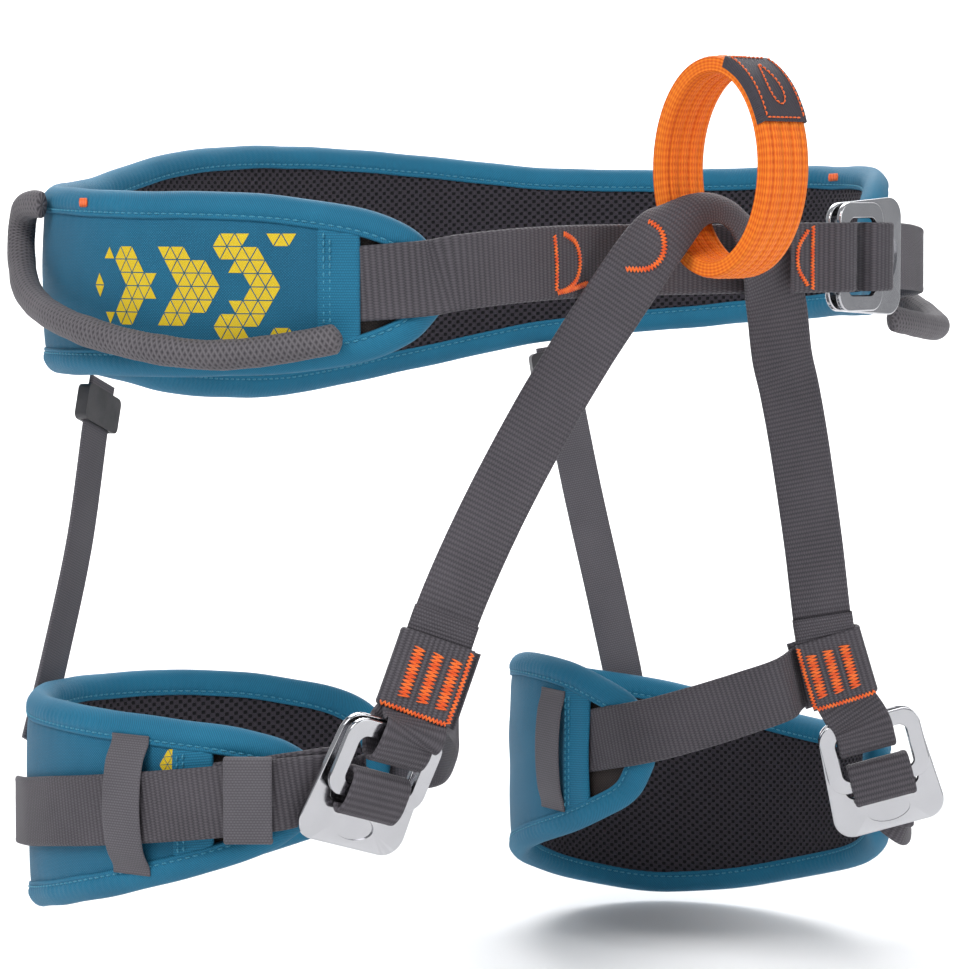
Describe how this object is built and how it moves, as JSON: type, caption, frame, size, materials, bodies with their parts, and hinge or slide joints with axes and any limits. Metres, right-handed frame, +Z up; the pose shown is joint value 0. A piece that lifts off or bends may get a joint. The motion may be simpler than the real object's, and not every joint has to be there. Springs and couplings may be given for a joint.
{
  "type": "climbing harness",
  "caption": "Sit harness: padded waist belt and leg loops joined by webbing risers, a stitched belay loop, gear loops and sliding metal buckles.",
  "frame": {"origin": "centre of the waist opening, at the height of the belt's middle", "axes": "+Z up, -Y the wearer's front, +X the wearer's left"},
  "size_m": [0.3979, 0.2972, 0.3477],
  "materials": {
    "blue_fabric": "woven, matt",
    "spacer_mesh": "knitted mesh, matt",
    "foam": "closed-cell foam, matt",
    "grey_webbing": "woven webbing, slight sheen",
    "grey_elastic": "woven elastic, matt",
    "grey_cord": "braided sleeve, matt",
    "orange_webbing": "woven webbing, bright",
    "patch_fabric": "woven patch, matt",
    "aluminium": "polished",
    "lock_plastic": "moulded, fine texture"
  },
  "bodies": {
    "waist_belt": {"waist_shell": "blue_fabric", "waist_foam": "foam", "waist_liner": "spacer_mesh", "waist_binding": "blue_fabric", "waist_slot_tapes": "blue_fabric", "waist_webbing": "grey_webbing", "waist_tail": "grey_webbing", "waist_buckle_frame": "aluminium", "waist_buckle_anchor": "grey_webbing", "tie_in_band": "grey_webbing", "right_rear_elastic": "grey_elastic", "left_rear_elastic": "grey_elastic"},
    "belay_loop": {"belay_loop": "orange_webbing", "belay_loop_patch": "patch_fabric"},
    "waist_ring": {"waist_buckle_ring": "aluminium", "waist_buckle_grip": "grey_webbing"},
    "gear_loop_right": {"gear_loop_right": "grey_cord"},
    "gear_loop_left": {"gear_loop_left": "grey_cord"},
    "ladder_lock_right": {"ladder_lock_right": "lock_plastic"},
    "ladder_lock_left": {"ladder_lock_left": "lock_plastic"},
    "right_leg": {"right_leg_shell": "blue_fabric", "right_leg_foam": "foam", "right_leg_liner": "spacer_mesh", "right_leg_binding": "blue_fabric", "right_leg_slot_tapes": "blue_fabric", "right_leg_webbing": "grey_webbing", "right_leg_tail": "grey_webbing", "right_leg_tab": "grey_webbing", "right_leg_inner_keeper": "grey_elastic", "right_leg_outer_keeper": "grey_elastic", "right_leg_buckle_frame": "aluminium", "right_leg_buckle_anchor": "grey_webbing", "right_riser": "grey_webbing"},
    "right_leg_ring": {"right_leg_buckle_ring": "aluminium", "right_leg_buckle_grip": "grey_webbing"},
    "right_leg_keeper": {"right_leg_sliding_keeper": "grey_elastic"},
    "left_leg": {"left_leg_shell": "blue_fabric", "left_leg_foam": "foam", "left_leg_liner": "spacer_mesh", "left_leg_binding": "blue_fabric", "left_leg_slot_tapes": "blue_fabric", "left_leg_webbing": "grey_webbing", "left_leg_tail": "grey_webbing", "left_leg_tab": "grey_webbing", "left_leg_inner_keeper": "grey_elastic", "left_leg_outer_keeper": "grey_elastic", "left_leg_buckle_frame": "aluminium", "left_leg_buckle_anchor": "grey_webbing", "left_riser": "grey_webbing"},
    "left_leg_ring": {"left_leg_buckle_ring": "aluminium", "left_leg_buckle_grip": "grey_webbing"},
    "left_leg_keeper": {"left_leg_sliding_keeper": "grey_elastic"}
  },
  "joints": [
    {"name": "belay_loop_swing", "type": "hinge", "parent": "waist_belt", "child": "belay_loop", "pos_m": [0, -0.1288, 0.0225], "axis": [1, 0, 0], "range_deg": [-4, 90]},
    {"name": "waist_buckle_tilt", "type": "hinge", "parent": "waist_belt", "child": "waist_ring", "pos_m": [0.06782, -0.12524, 0.008], "axis": [0, 0, -1], "range_deg": [0, 8], "stiffness_Nm_per_rad": 0.02},
    {"name": "right_leg_buckle_tilt", "type": "hinge", "parent": "right_leg", "child": "right_leg_ring", "pos_m": [-0.12622, -0.10824, -0.14948], "axis": [-0.9493, 0.0469, 0.311], "range_deg": [0, 8], "stiffness_Nm_per_rad": 0.02},
    {"name": "left_leg_buckle_tilt", "type": "hinge", "parent": "left_leg", "child": "left_leg_ring", "pos_m": [0.11411, -0.09711, -0.17269], "axis": [-0.7395, 0.6208, -0.2604], "range_deg": [0, 8], "stiffness_Nm_per_rad": 0.02},
    {"name": "right_leg_swing", "type": "hinge", "parent": "waist_belt", "child": "right_leg", "pos_m": [-0.048, -0.1122, -0.024], "axis": [-1, 0, 0], "range_deg": [-5, 22], "stiffness_Nm_per_rad": 0.8, "springref_deg": -9.17, "deforming": ["right_riser", "right_rear_elastic"]},
    {"name": "left_leg_swing", "type": "hinge", "parent": "waist_belt", "child": "left_leg", "pos_m": [0.0532, -0.1091, -0.027], "axis": [-1, 0, 0], "range_deg": [-5, 22], "stiffness_Nm_per_rad": 0.8, "springref_deg": -9.17, "deforming": ["left_riser", "left_rear_elastic"]},
    {"name": "gear_loop_right_flex", "type": "hinge", "parent": "waist_belt", "child": "gear_loop_right", "pos_m": [-0.15745, -0.0309, 0.0065], "axis": [-0.3022, 0.8897, 0.3422], "range_deg": [-4, 18], "stiffness_Nm_per_rad": 0.05},
    {"name": "gear_loop_left_flex", "type": "hinge", "parent": "waist_belt", "child": "gear_loop_left", "pos_m": [0.1511, -0.00935, 0.007], "axis": [0.0703, 0.9482, 0.3099], "range_deg": [-4, 18], "stiffness_Nm_per_rad": 0.05},
    {"name": "ladder_lock_right_slide", "type": "slide", "parent": "waist_belt", "child": "ladder_lock_right", "axis": [-0.2834, -0.1653, -0.9446], "range_m": [-0.003, 0.004]},
    {"name": "ladder_lock_left_slide", "type": "slide", "parent": "waist_belt", "child": "ladder_lock_left", "axis": [0.0941, -0.1177, -0.9886], "range_m": [-0.003, 0.004]},
    {"name": "right_leg_keeper_slide", "type": "slide", "parent": "right_leg", "child": "right_leg_keeper", "axis": [0.7447, -0.6609, 0.0925], "range_m": [-0.004, 0.004]},
    {"name": "left_leg_keeper_slide", "type": "slide", "parent": "left_leg", "child": "left_leg_keeper", "axis": [-0.5295, -0.8112, 0.2484], "range_m": [-0.004, 0.004]}
  ]
}
